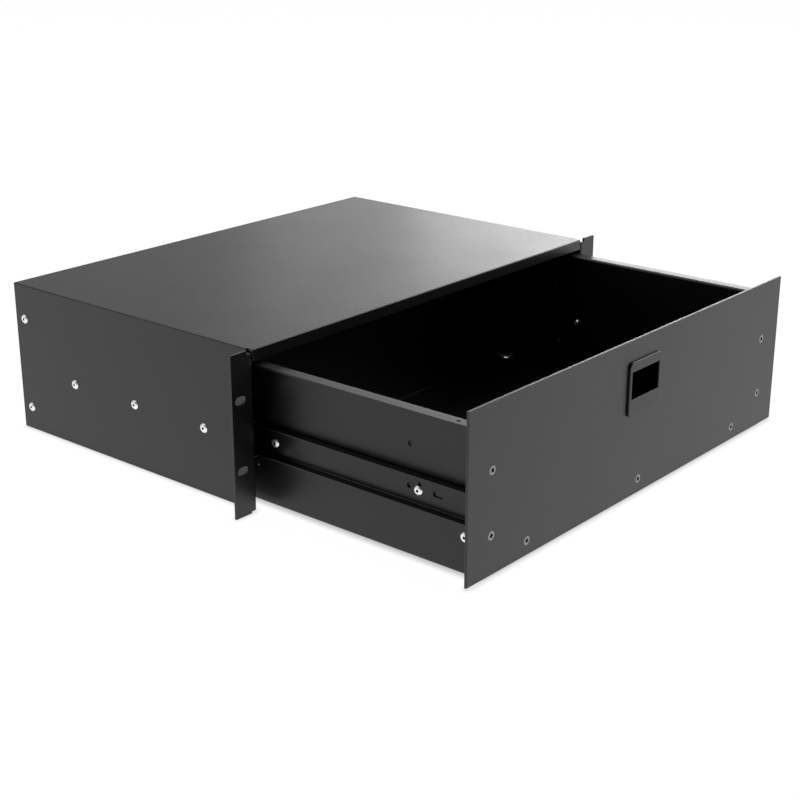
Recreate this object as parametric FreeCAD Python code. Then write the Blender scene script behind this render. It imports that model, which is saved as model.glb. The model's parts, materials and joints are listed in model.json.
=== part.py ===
import FreeCAD, Part
import math
import os

Vector = FreeCAD.Vector

# Sliding drawer for a 19 inch rack, 3U high, drawn out to its stop. Millimetres.
# X runs across, +Y runs from the rack's front into the rack, +Z is up.
# The origin is the centre of the four rack slots, on the front face of the ears.
# Heights named below are measured up from the ears' lower edge. up() turns them into Z.

# Rack interface
EAR_SPAN = 482.6
EAR_HEIGHT = 132.5
SLOT_SPACING_X = 465.1
SLOT_SPACING_Z = 57.15
SLOT_LENGTH = 10.5
SLOT_WIDTH = 7.0

# Case
CASE_SHEET = 2.0
CASE_WIDTH = 441.0
CASE_HEIGHT = 132.0
CASE_DEPTH = 289.0
LIP_HEIGHT = 9.5
LIP_END_GAP = 0.15
RETURN_FLANGE = 9.0
RETURN_START = 60.0
SLIT_LENGTH = 5.5
SLIT_WIDTH = 0.8
EAR_NOTCH = 1.5
EAR_BEND_REACH = 8.0
EAR_BEND = 1.0
CASE_BEND = 0.3
CASE_CORNER = 1.0
REAR_SHEET = 1.5
REAR_SETBACK = 1.0
REAR_FLANGE = 17.0
REAR_TURN = 9.0
REAR_LIFT = 0.4
REAR_GAP = 0.2

# Ball slides, one on each side
SLIDE_THICKNESS = 12.7
RAIL_SHEET = 1.2
RAIL_CENTRE_HEIGHT = 56.8
CASE_RAIL_HEIGHT = 34.0
DRAWER_RAIL_HEIGHT = 25.4
DRAWER_RAIL_REACH = 7.6
CASE_RAIL_START = 4.0
CASE_RAIL_END = 266.0
CASE_RAIL_LIP = 2.6
CASE_RAIL_LIP_GAP = 3.5
CASE_STOP_HALF = 9.0
DRAWER_RAIL_GAP = 0.4
DRAWER_STOP_HALF = 7.0
STOP_OVERLAP = 0.6
CAGE_SHEET = 0.8
CAGE_LENGTH = 50.0
CAGE_REACH = 9.6
CAGE_LEG_GAP = 2.3
BALL_RADIUS = 1.5
BALL_CLEARANCE = 0.1
BALL_INSET = 5.9
BALLS_PER_ROW = 5
STOP_CLEARANCE = 0.3
STOP_TAB = 1.2
BUMPER_GAP = 1.5
BUMPER_HALF = 11.0
BUMPER_EDGE = 1.2

# Drawer
TRAVEL = 205.0
CLOSED_GAP = 0.4
PANEL_SHEET = 2.0
PANEL_WIDTH = 443.0
PANEL_BOTTOM = 1.6
PANEL_HEIGHT = 131.4
PAN_SHEET = 1.5
PAN_LENGTH = 280.0
PAN_BOTTOM = 2.2
PAN_TOP = 119.3
HEM_WIDTH = 9.7
REAR_HEM_WIDTH = 8.5
FRONT_FLANGE_WIDTH = 23.8
FRONT_FLANGE_HEIGHT = 22.2
CORNER_RELIEF_RADIUS = 2.8
CORNER_RELIEF_INSET = 2.4
FRONT_RELIEF_DEPTH = 4.2
REAR_RELIEF_DEPTH = 3.4
CORNER_TAB_LENGTH = 22.0
CORNER_TAB_TOP = 40.0
REAR_TAB_WIDTH = 16.0
FLANGE_GAP = 1.5
HEM_HOLE_RADIUS = 1.5
HEM_HOLE_INSET = 4.9
HEM_HOLE_Y = -190.2

# Fasteners and holes. A place is given as (Y, height) on a side, or (X, height) on the front.
RIVET_HEAD_RADIUS = 4.0
RIVET_HEAD_HEIGHT = 1.4
RIVET_SHANK_RADIUS = 2.0
RIVET_TAIL_RADIUS = 2.8
RIVET_TAIL_LENGTH = 3.4
FLAT_TAIL_LENGTH = 0.9
MANDREL_RADIUS = 1.1
MANDREL_DEPTH = 1.0
RAIL_RIVET_HEIGHT = 55.8
CASE_RAIL_RIVETS = [(55.4, RAIL_RIVET_HEIGHT), (137.7, RAIL_RIVET_HEIGHT), (214.2, RAIL_RIVET_HEIGHT)]
REAR_PANEL_RIVETS = [(277.4, 20.7), (277.4, 101.4)]
DRAWER_RAIL_RIVETS = [(-9.9, RAIL_RIVET_HEIGHT), (-152.0, RAIL_RIVET_HEIGHT)]
PAN_CORNER_RIVETS = [(-193.5, 31.4)]
PAN_SIDE_HOLES = [(10.0, 33.0), (15.0, 90.2)]
PAN_SIDE_MARK = (-143.4, 89.5)
SIDE_MARK_DEPTH = 1.0
RAIL_ROUND_HOLE = (-143.5, 57.8)
RAIL_SMALL_HOLE = (-153.2, 61.0)
RAIL_SMALL_HOLE_RADIUS = 1.6
RAIL_SLOT = (-170.0, 57.3)
RAIL_SLOT_HALF = 2.4
RAIL_SLOT_RADIUS = 2.2
PANEL_SCREWS = [(-193.7, 82.2), (-193.7, 32.5), (-150.3, 13.2), (0.0, 13.2),
                (150.3, 13.2), (193.7, 32.5), (193.7, 82.2)]
SCREW_HEAD_RADIUS = 3.7
SCREW_HEAD_DEPTH = 1.7
SCREW_RADIUS = 1.95
SCREW_LENGTH = 8.0
SCREW_CLEARANCE = 0.05
CROSS_DEPTH = 1.2
CROSS_REACH = 2.1
CROSS_WIDTH = 0.45
NUT_RADIUS = 3.75
NUT_LENGTH = 2.2

# Latch
BEZEL_WIDTH = 45.0
BEZEL_BOTTOM = 71.0
BEZEL_TOP = 115.6
BEZEL_PROUD = 2.0
BEZEL_CORNER = 4.5
BEZEL_EDGE = 0.7
WINDOW_WIDTH = 39.2
WINDOW_BOTTOM = 85.2
WINDOW_TOP = 107.7
CUTOUT_WIDTH = 42.0
CUTOUT_BOTTOM = 73.0
CUTOUT_TOP = 113.7
LATCH_DEPTH = 19.0
LATCH_WALL = 1.3
LATCH_FLOOR = 2.0
LATCH_CLEARANCE = 0.2
GUIDE_WIDTH = 2.3
GUIDE_DEPTH = 2.0
SNAP_BOTTOM = 88.0
SNAP_HEIGHT = 12.0
SNAP_REACH = 1.0
SNAP_LENGTH = 4.4
COVER_SHEET = 1.5
RIB_INSIDE = 5.5
RIB_WIDTH = 2.0
BOLT_WIDTH = 19.0
BOLT_SHEET = 3.2
BOLT_FRONT = 11.7
BOLT_TRAVEL = 4.4
BOLT_TOP = 126.3
BOLT_TIP_FRONT = 4.8
BOLT_TIP_FLAT = 1.5
BOLT_HEAD_BOTTOM = 119.0
BOLT_CLEARANCE = 0.3
SHOULDER_BOTTOM = 97.0
SHOULDER_TOP = 100.0
SHOULDER_CLEARANCE = 0.7
LEDGE_HALF = 11.4
LEDGE_FRONT = 3.5
LEDGE_SHEET = 2.3
LEDGE_LIP_SHEET = 1.5
LEDGE_LIP_HEIGHT = 1.3
SPRING_X = 14.5
SPRING_RADIUS = 2.2
SPRING_WIRE_RADIUS = 0.3
SPRING_TURNS = 8
SPRING_CLEARANCE = 0.05

# Shared by every piece
BEND_ZONE = 3.0
SHEET_BEND = 0.6
RAIL_BEND = 0.4
PAST = 1.0

# Values that follow from the ones above
PANEL_BACK = -TRAVEL - CLOSED_GAP
PANEL_FRONT = PANEL_BACK - PANEL_SHEET
CASE_INSIDE = CASE_WIDTH / 2 - CASE_SHEET
PAN_OUTSIDE = CASE_INSIDE - SLIDE_THICKNESS
PAN_INSIDE = PAN_OUTSIDE - PAN_SHEET
PAN_BACK = PANEL_BACK + PAN_LENGTH
BALL_X = CASE_INSIDE - BALL_INSET
BALL_OFFSET = (CASE_RAIL_HEIGHT / 2 - RAIL_SHEET + DRAWER_RAIL_HEIGHT / 2) / 2
CAGE_START = CASE_RAIL_START + STOP_TAB + STOP_CLEARANCE
CAGE_END = CAGE_START + CAGE_LENGTH
DRAWER_RAIL_END = CAGE_END + STOP_CLEARANCE + STOP_TAB
CAGE_WEB_X = PAN_OUTSIDE + CAGE_REACH
BODY_HALF = CUTOUT_WIDTH / 2 - LATCH_CLEARANCE
BODY_BOTTOM = CUTOUT_BOTTOM + LATCH_CLEARANCE
BODY_TOP = CUTOUT_TOP - LATCH_CLEARANCE
CAVITY_HALF = BODY_HALF - LATCH_WALL
CAVITY_BOTTOM = BODY_BOTTOM + LATCH_FLOOR
CAVITY_TOP = BODY_TOP - LATCH_FLOOR
BOLT_BACK = BOLT_FRONT + BOLT_SHEET
LEDGE_BOTTOM = CAVITY_BOTTOM + BOLT_TRAVEL + 0.4
LEDGE_TOP = LEDGE_BOTTOM + LEDGE_SHEET


def up(height):
    return height - EAR_HEIGHT / 2


# Shape helpers

def box(x_low, x_high, y_low, y_high, z_low, z_high):
    size = (x_high - x_low, y_high - y_low, z_high - z_low)
    return Part.makeBox(*size, Vector(x_low, y_low, z_low))


def cylinder(radius, start, end):
    axis = end - start
    return Part.makeCylinder(radius, axis.Length, start, axis)


def mirrored(shape):
    return shape.mirror(Vector(0, 0, 0), Vector(1, 0, 0))


def both_sides(shape):
    return [shape, mirrored(shape)]


def joined(shapes):
    return shapes[0].fuse(shapes[1:]).removeSplitter()


def rounded_outline(corners, radii):
    """Closed wire through the corners, each one rounded by its radius."""
    edges = []
    starts = []
    ends = []
    count = len(corners)
    for index, corner in enumerate(corners):
        arriving = (corner - corners[index - 1]).normalize()
        leaving = (corners[(index + 1) % count] - corner).normalize()
        turn = arriving.getAngle(leaving)
        radius = radii[index]
        reach = radius * math.tan(turn / 2)
        start = corner - arriving * reach
        end = corner + leaving * reach
        starts.append(start)
        ends.append(end)
        if radius > 0:
            inward = (leaving - arriving).normalize()
            middle = corner + inward * (radius / math.cos(turn / 2) - radius)
            edges.append(Part.Arc(start, middle, end).toShape())
    for index in range(count):
        edges.append(Part.LineSegment(ends[index - 1], starts[index]).toShape())
    return Part.Wire(Part.__sortEdges__(edges))


def offset_corners(points, distance):
    """The points of an open path, moved sideways, to the left if distance is positive."""
    moved = []
    for index, point in enumerate(points):
        normals = []
        for before, after in ((index - 1, index), (index, index + 1)):
            if before >= 0 and after < len(points):
                along = (points[after] - points[before]).normalize()
                normals.append(Vector(-along.y, along.x, 0))
        total = normals[0] + normals[-1]
        moved.append(point + total * (distance / total.dot(normals[0])))
    return moved


def folded_sheet(path, sheet, plane, low, high, bend=SHEET_BEND, corner=None):
    """A sheet folded along a path through its middle, run from low to high across its plane.
    Its bends have the radius bend inside and corner outside, or bend + sheet without a corner."""
    outer = corner or bend + sheet
    points = [Vector(first, second, 0) for first, second in path]
    left = offset_corners(points, sheet / 2)
    right = offset_corners(points, -sheet / 2)
    left_radii = [0.0]
    right_radii = [0.0]
    for before, corner, after in zip(points, points[1:], points[2:]):
        turns_left = (corner - before).cross(after - corner).z > 0
        left_radii.append(bend if turns_left else outer)
        right_radii.append(outer if turns_left else bend)
    left_radii.append(0.0)
    right_radii.append(0.0)
    wire = rounded_outline(left + right[::-1], left_radii + right_radii[::-1])
    solid = Part.Face(wire).extrude(Vector(0, 0, high - low))
    solid.translate(Vector(0, 0, low))
    if plane == "XZ":
        solid.rotate(Vector(0, 0, 0), Vector(1, 0, 0), 90)
        solid = solid.mirror(Vector(0, 0, 0), Vector(0, 1, 0))
    if plane == "YZ":
        solid.rotate(Vector(0, 0, 0), Vector(1, 1, 1), 120)
    return solid


def turned(profile, arc_middle=None):
    """A solid turned about +X. The profile gives (along X, radius), and an arc replaces its
    third stretch when the arc's middle is given."""
    points = [Vector(along, radius, 0) for along, radius in profile]
    edges = []
    for index, (start, end) in enumerate(zip(points, points[1:] + points[:1])):
        if arc_middle and index == 2:
            edges.append(Part.Arc(start, Vector(arc_middle[0], arc_middle[1], 0), end).toShape())
        else:
            edges.append(Part.LineSegment(start, end).toShape())
    return Part.Face(Part.Wire(edges)).revolve(Vector(0, 0, 0), Vector(1, 0, 0), 360)


# Fasteners

def blind_rivet(grip, tail_length):
    """Domed blind rivet, head towards +X, underside of the head at X = 0."""
    rim = 0.3
    dome_middle = (RIVET_HEAD_HEIGHT * 0.82, RIVET_HEAD_RADIUS * 0.7)
    profile = [(RIVET_HEAD_HEIGHT - MANDREL_DEPTH, 0),
               (RIVET_HEAD_HEIGHT - MANDREL_DEPTH, MANDREL_RADIUS),
               (RIVET_HEAD_HEIGHT, MANDREL_RADIUS),
               (rim, RIVET_HEAD_RADIUS),
               (0, RIVET_HEAD_RADIUS),
               (0, RIVET_SHANK_RADIUS),
               (-grip, RIVET_SHANK_RADIUS),
               (-grip, RIVET_TAIL_RADIUS),
               (-grip - tail_length, RIVET_TAIL_RADIUS),
               (-grip - tail_length, 0)]
    return turned(profile, dome_middle)


def side_rivets(places, surface_x, grip, tail_length):
    rivets = []
    for y, height in places:
        rivet = blind_rivet(grip, tail_length)
        rivet.translate(Vector(surface_x, y, up(height)))
        rivets += both_sides(rivet)
    return rivets


def side_holes(places, x_low, x_high, radius=RIVET_SHANK_RADIUS):
    holes = []
    for y, height in places:
        start = Vector(x_low, y, up(height))
        end = Vector(x_high, y, up(height))
        holes += both_sides(cylinder(radius, start, end))
    return holes


def panel_screw():
    """Countersunk screw along +Y, the flat of its head at Y = 0, with a cross recess."""
    screw = turned([(0, 0), (0, SCREW_HEAD_RADIUS), (SCREW_HEAD_DEPTH, SCREW_RADIUS),
                    (SCREW_LENGTH, SCREW_RADIUS), (SCREW_LENGTH, 0)])
    for width, reach in ((CROSS_WIDTH, CROSS_REACH), (CROSS_REACH, CROSS_WIDTH)):
        screw = screw.cut(box(-PAST, CROSS_DEPTH, -width, width, -reach, reach))
    screw.rotate(Vector(0, 0, 0), Vector(0, 0, 1), 90)
    return screw


def panel_screws():
    screws = []
    for x, height in PANEL_SCREWS:
        screw = panel_screw()
        screw.translate(Vector(x, PANEL_FRONT, up(height)))
        screws.append(screw)
    return screws


def press_nuts():
    nuts = []
    face = PANEL_BACK + PAN_SHEET
    for x, height in PANEL_SCREWS:
        start = Vector(x, face, up(height))
        end = Vector(x, face + NUT_LENGTH, up(height))
        bore = cylinder(SCREW_RADIUS + SCREW_CLEARANCE, start, end)
        nuts.append(cylinder(NUT_RADIUS, start, end).cut(bore))
    return nuts


# Case

def ear_slot(x_centre, z_centre):
    straight = (SLOT_LENGTH - SLOT_WIDTH) / 2
    radius = SLOT_WIDTH / 2
    front = -PAST
    back = CASE_SHEET + PAST
    cutters = [box(x_centre - straight, x_centre + straight, front, back,
                   z_centre - radius, z_centre + radius)]
    for x in (x_centre - straight, x_centre + straight):
        cutters.append(cylinder(radius, Vector(x, front, z_centre), Vector(x, back, z_centre)))
    return joined(cutters)


def case_shell():
    half = CASE_SHEET / 2
    side = CASE_WIDTH / 2 - half
    top = up(CASE_HEIGHT) - half
    bottom = up(0) + half
    flange_end = CASE_INSIDE - RETURN_FLANGE
    front_end = SLIT_LENGTH + BEND_ZONE
    lip_half = CASE_INSIDE - LIP_END_GAP
    wrap = folded_sheet([(flange_end, bottom), (side, bottom), (side, top),
                         (-side, top), (-side, bottom), (-flange_end, bottom)],
                        CASE_SHEET, "XZ", SLIT_LENGTH, CASE_DEPTH, CASE_BEND, CASE_CORNER)
    front_top = folded_sheet([(front_end, top), (half, top), (half, up(CASE_HEIGHT - LIP_HEIGHT))],
                             CASE_SHEET, "YZ", -lip_half, lip_half, CASE_BEND, CASE_CORNER)
    ear_bend = folded_sheet([(side, front_end), (side, half), (side + EAR_BEND_REACH, half)],
                            CASE_SHEET, "XY", up(EAR_NOTCH), top - half - SLIT_WIDTH, EAR_BEND)
    ear = box(side + half + BEND_ZONE + PAST, EAR_SPAN / 2, 0, CASE_SHEET, up(0), up(EAR_HEIGHT))
    for z in (-SLOT_SPACING_Z / 2, SLOT_SPACING_Z / 2):
        ear = ear.cut(ear_slot(SLOT_SPACING_X / 2, z))
    flange_gap = box(flange_end - PAST, CASE_INSIDE, SLIT_LENGTH - PAST, RETURN_START,
                     up(0) - PAST, up(CASE_SHEET + CASE_BEND) + PAST)
    for cutter in both_sides(flange_gap):
        wrap = wrap.cut(cutter)
    shell = joined([wrap, front_top] + both_sides(ear_bend) + both_sides(ear))
    rivet_places = CASE_RAIL_RIVETS + REAR_PANEL_RIVETS
    for cutter in side_holes(rivet_places, CASE_INSIDE - PAST, CASE_WIDTH / 2 + PAST):
        shell = shell.cut(cutter)
    return [shell]


def rear_panel():
    half = REAR_SHEET / 2
    back = CASE_DEPTH - REAR_SETBACK - half
    side = CASE_INSIDE - half
    low = up(REAR_LIFT) + half
    high = up(CASE_HEIGHT) - CASE_SHEET - REAR_GAP - half
    tray_front = back + half - REAR_FLANGE
    tray = folded_sheet([(side, tray_front), (side, back), (-side, back), (-side, tray_front)],
                        REAR_SHEET, "XY", low + BEND_ZONE, high - BEND_ZONE)
    turn_front = back - REAR_TURN
    turn_half = CASE_INSIDE - RETURN_FLANGE - 1.0
    upright = folded_sheet([(turn_front, high), (back, high), (back, low), (turn_front, low)],
                           REAR_SHEET, "YZ", -turn_half, turn_half)
    panel = joined([tray, upright])
    for cutter in side_holes(REAR_PANEL_RIVETS, CASE_INSIDE - REAR_SHEET - PAST, CASE_INSIDE + PAST):
        panel = panel.cut(cutter)
    return [panel]


# Ball slides, drawn for the +X side

def case_rail():
    half = RAIL_SHEET / 2
    web = CASE_INSIDE - half
    lip = PAN_OUTSIDE + CASE_RAIL_LIP_GAP
    centre = up(RAIL_CENTRE_HEIGHT)
    high = centre + CASE_RAIL_HEIGHT / 2 - half
    low = centre - CASE_RAIL_HEIGHT / 2 + half
    rail = folded_sheet([(lip, high - CASE_RAIL_LIP), (lip, high), (web, high),
                         (web, low), (lip, low), (lip, low + CASE_RAIL_LIP)],
                        RAIL_SHEET, "XZ", CASE_RAIL_START, CASE_RAIL_END, bend=RAIL_BEND)
    stop_tab = box(CAGE_WEB_X - CAGE_SHEET / 2, web, CASE_RAIL_START, CASE_RAIL_START + STOP_TAB,
                   centre - CASE_STOP_HALF, centre + CASE_STOP_HALF)
    rail = joined([rail, stop_tab])
    for cutter in side_holes(CASE_RAIL_RIVETS, CASE_INSIDE - RAIL_SHEET - PAST, CASE_INSIDE + PAST):
        rail = rail.cut(cutter)
    return rail


def rail_bumper():
    centre = up(RAIL_CENTRE_HEIGHT)
    block = box(PAN_OUTSIDE + BUMPER_GAP, CASE_INSIDE - RAIL_SHEET,
                DRAWER_RAIL_END + TRAVEL + STOP_CLEARANCE, CASE_RAIL_END,
                centre - BUMPER_HALF, centre + BUMPER_HALF)
    along_y = [edge for edge in block.Edges if abs(edge.tangentAt(edge.FirstParameter).y) > 0.99]
    return block.makeFillet(BUMPER_EDGE, along_y)


def ball_places():
    pitch = CAGE_LENGTH / BALLS_PER_ROW
    places = []
    for index in range(BALLS_PER_ROW):
        for side in (-1, 1):
            y = CAGE_START + pitch * (index + 0.5)
            places.append(Vector(BALL_X, y, up(RAIL_CENTRE_HEIGHT) + side * BALL_OFFSET))
    return places


def ball_cage():
    centre = up(RAIL_CENTRE_HEIGHT)
    high = centre + BALL_OFFSET
    low = centre - BALL_OFFSET
    leg_end = BALL_X - CAGE_LEG_GAP
    web = CAGE_WEB_X + CAGE_SHEET / 2
    cage = folded_sheet([(leg_end, high), (web, high), (web, low), (leg_end, low)],
                        CAGE_SHEET, "XZ", CAGE_START, CAGE_END, bend=RAIL_BEND)
    through = Vector(0, 0, CAGE_SHEET)
    for place in ball_places():
        cage = cage.cut(cylinder(BALL_RADIUS + BALL_CLEARANCE, place - through, place + through))
    return cage


def balls():
    return [Part.makeSphere(BALL_RADIUS, place) for place in ball_places()]


def drawer_rail():
    half = RAIL_SHEET / 2
    web = PAN_OUTSIDE + half
    end = PAN_OUTSIDE + DRAWER_RAIL_REACH
    centre = up(RAIL_CENTRE_HEIGHT)
    high = centre + DRAWER_RAIL_HEIGHT / 2 - half
    low = centre - DRAWER_RAIL_HEIGHT / 2 + half
    rail = folded_sheet([(end, high), (web, high), (web, low), (end, low)], RAIL_SHEET, "XZ",
                        PANEL_BACK + DRAWER_RAIL_GAP, DRAWER_RAIL_END, bend=2 * RAIL_BEND)
    stop_tab = box(web, CAGE_WEB_X + STOP_OVERLAP, DRAWER_RAIL_END - STOP_TAB, DRAWER_RAIL_END,
                   centre - DRAWER_STOP_HALF, centre + DRAWER_STOP_HALF)
    rail = joined([rail, stop_tab])
    inside = PAN_OUTSIDE - PAST
    outside = PAN_OUTSIDE + RAIL_SHEET + PAST
    slot_y, slot_height = RAIL_SLOT
    slot_ends = [(slot_y - RAIL_SLOT_HALF, slot_height), (slot_y + RAIL_SLOT_HALF, slot_height)]
    cutters = side_holes(DRAWER_RAIL_RIVETS + [RAIL_ROUND_HOLE], inside, outside)
    cutters += side_holes([RAIL_SMALL_HOLE], inside, outside, radius=RAIL_SMALL_HOLE_RADIUS)
    cutters += side_holes(slot_ends, inside, outside, radius=RAIL_SLOT_RADIUS)
    cutters.append(box(inside, outside, slot_y - RAIL_SLOT_HALF, slot_y + RAIL_SLOT_HALF,
                       up(slot_height - RAIL_SLOT_RADIUS), up(slot_height + RAIL_SLOT_RADIUS)))
    for cutter in cutters:
        rail = rail.cut(cutter)
    return rail


# Drawer

def drawer_pan():
    half = PAN_SHEET / 2
    side = PAN_OUTSIDE - half
    floor = up(PAN_BOTTOM) + half
    top = up(PAN_TOP) - half
    hem_end = PAN_OUTSIDE + HEM_WIDTH
    front = PANEL_BACK + half
    back = PAN_BACK - half
    wall_low = floor + BEND_ZONE
    wall_high = top - BEND_ZONE
    flange_top = up(PAN_BOTTOM + FRONT_FLANGE_HEIGHT)
    flange_turn = PANEL_BACK + 10.0
    rear_turn = PAN_BACK - 12.0
    inner_half = PAN_INSIDE - 1.0
    body = folded_sheet([(hem_end, top), (side, top), (side, floor),
                         (-side, floor), (-side, top), (-hem_end, top)],
                        PAN_SHEET, "XZ", PANEL_BACK + BEND_ZONE, PAN_BACK - BEND_ZONE - 2.0)
    flange_end = PAN_OUTSIDE - FRONT_FLANGE_WIDTH
    front_flange = folded_sheet([(side, flange_turn), (side, front), (flange_end, front)],
                                PAN_SHEET, "XY", flange_top + FLANGE_GAP, wall_high)
    lower_flange = folded_sheet([(flange_turn, floor), (front, floor), (front, flange_top)],
                                PAN_SHEET, "YZ", -inner_half, inner_half)
    corner_tab = box(PAN_INSIDE - PAN_SHEET, PAN_INSIDE, PANEL_BACK + PAN_SHEET,
                     PANEL_BACK + CORNER_TAB_LENGTH, wall_low, up(CORNER_TAB_TOP))
    rear_wall = folded_sheet([(rear_turn, floor), (back, floor), (back, wall_high)],
                             PAN_SHEET, "YZ", -inner_half, inner_half)
    rear_hem = folded_sheet([(back, wall_high - 5.0), (back, top), (PAN_BACK - REAR_HEM_WIDTH, top)],
                            PAN_SHEET, "YZ", -inner_half, inner_half)
    tab_y = PAN_BACK + half
    rear_tab = folded_sheet([(side, rear_turn), (side, tab_y), (side - REAR_TAB_WIDTH, tab_y)],
                            PAN_SHEET, "XY", wall_low, wall_high)
    pieces = [body, lower_flange, rear_wall, rear_hem]
    for piece in (front_flange, corner_tab, rear_tab):
        pieces += both_sides(piece)
    pan = joined(pieces)
    cutters = []
    for y in (PANEL_BACK + FRONT_RELIEF_DEPTH, PAN_BACK - REAR_RELIEF_DEPTH):
        start = Vector(PAN_INSIDE - CORNER_RELIEF_INSET, y, up(0))
        end = start + Vector(0, 0, PAN_BOTTOM + PAN_SHEET + PAST)
        cutters += both_sides(cylinder(CORNER_RELIEF_RADIUS, start, end))
    hem_hole = Vector(hem_end - HEM_HOLE_INSET, HEM_HOLE_Y, top)
    through = Vector(0, 0, half + PAST)
    cutters += both_sides(cylinder(HEM_HOLE_RADIUS, hem_hole - through, hem_hole + through))
    cutters += side_holes(PAN_SIDE_HOLES + DRAWER_RAIL_RIVETS, PAN_INSIDE - PAST, PAN_OUTSIDE + PAST)
    cutters += side_holes(PAN_CORNER_RIVETS, PAN_INSIDE - PAN_SHEET - PAST, PAN_OUTSIDE + PAST)
    cutters += side_holes([PAN_SIDE_MARK], PAN_OUTSIDE - SIDE_MARK_DEPTH, PAN_OUTSIDE + PAST)
    for x, height in PANEL_SCREWS:
        start = Vector(x, PANEL_BACK - PAST, up(height))
        end = start + Vector(0, PAN_SHEET + 2 * PAST, 0)
        cutters.append(cylinder(SCREW_RADIUS + SCREW_CLEARANCE, start, end))
    for cutter in cutters:
        pan = pan.cut(cutter)
    return [pan]


def front_panel():
    edge_chamfer = 0.25
    panel = box(-PANEL_WIDTH / 2, PANEL_WIDTH / 2, PANEL_FRONT, PANEL_BACK,
                up(PANEL_BOTTOM), up(PANEL_BOTTOM + PANEL_HEIGHT))
    front_edges = [edge for edge in panel.Edges if abs(edge.CenterOfMass.y - PANEL_FRONT) < 0.01]
    panel = panel.makeChamfer(edge_chamfer, front_edges)
    panel = panel.cut(box(-CUTOUT_WIDTH / 2, CUTOUT_WIDTH / 2, PANEL_FRONT - PAST, PANEL_BACK + PAST,
                          up(CUTOUT_BOTTOM), up(CUTOUT_TOP)))
    hole_radius = SCREW_RADIUS + SCREW_CLEARANCE
    for x, height in PANEL_SCREWS:
        start = Vector(x, PANEL_FRONT, up(height))
        end = Vector(x, PANEL_BACK + PAST, up(height))
        sink = Part.makeCone(SCREW_HEAD_RADIUS + SCREW_CLEARANCE, hole_radius,
                             SCREW_HEAD_DEPTH, start, Vector(0, 1, 0))
        panel = panel.cut(joined([sink, cylinder(hole_radius, start, end)]))
    return [panel]


# Latch. behind() gives Y from a depth behind the panel's front face.

def behind(depth):
    return PANEL_FRONT + depth


def latch_box(half_width, depth_low, depth_high, low, high):
    return box(-half_width, half_width, behind(depth_low), behind(depth_high), up(low), up(high))


def latch_housing():
    bezel_half = BEZEL_WIDTH / 2
    corners = [(-bezel_half, BEZEL_BOTTOM), (bezel_half, BEZEL_BOTTOM),
               (bezel_half, BEZEL_TOP), (-bezel_half, BEZEL_TOP)]
    outline = rounded_outline([Vector(x, behind(0), up(height)) for x, height in corners],
                              [BEZEL_CORNER] * len(corners))
    bezel = Part.Face(outline).extrude(Vector(0, -BEZEL_PROUD, 0))
    rim = [edge for edge in bezel.Edges if abs(edge.BoundBox.YMax - behind(-BEZEL_PROUD)) < 0.01]
    bezel = bezel.makeFillet(BEZEL_EDGE, rim)
    body = latch_box(BODY_HALF, 0, LATCH_DEPTH, BODY_BOTTOM, BODY_TOP)
    cavity = latch_box(CAVITY_HALF, 0, LATCH_DEPTH + PAST, CAVITY_BOTTOM, CAVITY_TOP)
    window = latch_box(WINDOW_WIDTH / 2, -BEZEL_PROUD - PAST, PAST, WINDOW_BOTTOM, WINDOW_TOP)
    bolt_slot = latch_box(BOLT_WIDTH / 2 + BOLT_CLEARANCE, BOLT_FRONT - BOLT_CLEARANCE,
                          BOLT_BACK + BOLT_CLEARANCE, CAVITY_TOP - PAST, BODY_TOP + PAST)
    housing = joined([bezel, body]).cut(cavity).cut(window).cut(bolt_slot)
    guide_back = BOLT_FRONT - BOLT_CLEARANCE
    guide = box(CAVITY_HALF - GUIDE_WIDTH, CAVITY_HALF, behind(guide_back - GUIDE_DEPTH),
                behind(guide_back), up(CAVITY_BOTTOM), up(CAVITY_TOP))
    snap_front = PANEL_SHEET + 0.1
    snap_points = [Vector(BODY_HALF, behind(snap_front), up(SNAP_BOTTOM)),
                   Vector(BODY_HALF + SNAP_REACH, behind(snap_front), up(SNAP_BOTTOM)),
                   Vector(BODY_HALF, behind(snap_front + SNAP_LENGTH), up(SNAP_BOTTOM))]
    snap_face = Part.Face(Part.makePolygon(snap_points + snap_points[:1]))
    snap = snap_face.extrude(Vector(0, 0, SNAP_HEIGHT))
    return [joined([housing] + both_sides(guide) + both_sides(snap))]


def latch_back_cover():
    plate = latch_box(BODY_HALF, LATCH_DEPTH, LATCH_DEPTH + COVER_SHEET, BODY_BOTTOM, BODY_TOP)
    rib = box(RIB_INSIDE, RIB_INSIDE + RIB_WIDTH, behind(BOLT_BACK + BOLT_CLEARANCE),
              behind(LATCH_DEPTH), up(CAVITY_BOTTOM + RIB_WIDTH), up(CAVITY_TOP - BOLT_CLEARANCE))
    return [joined([plate] + both_sides(rib))]


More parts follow.
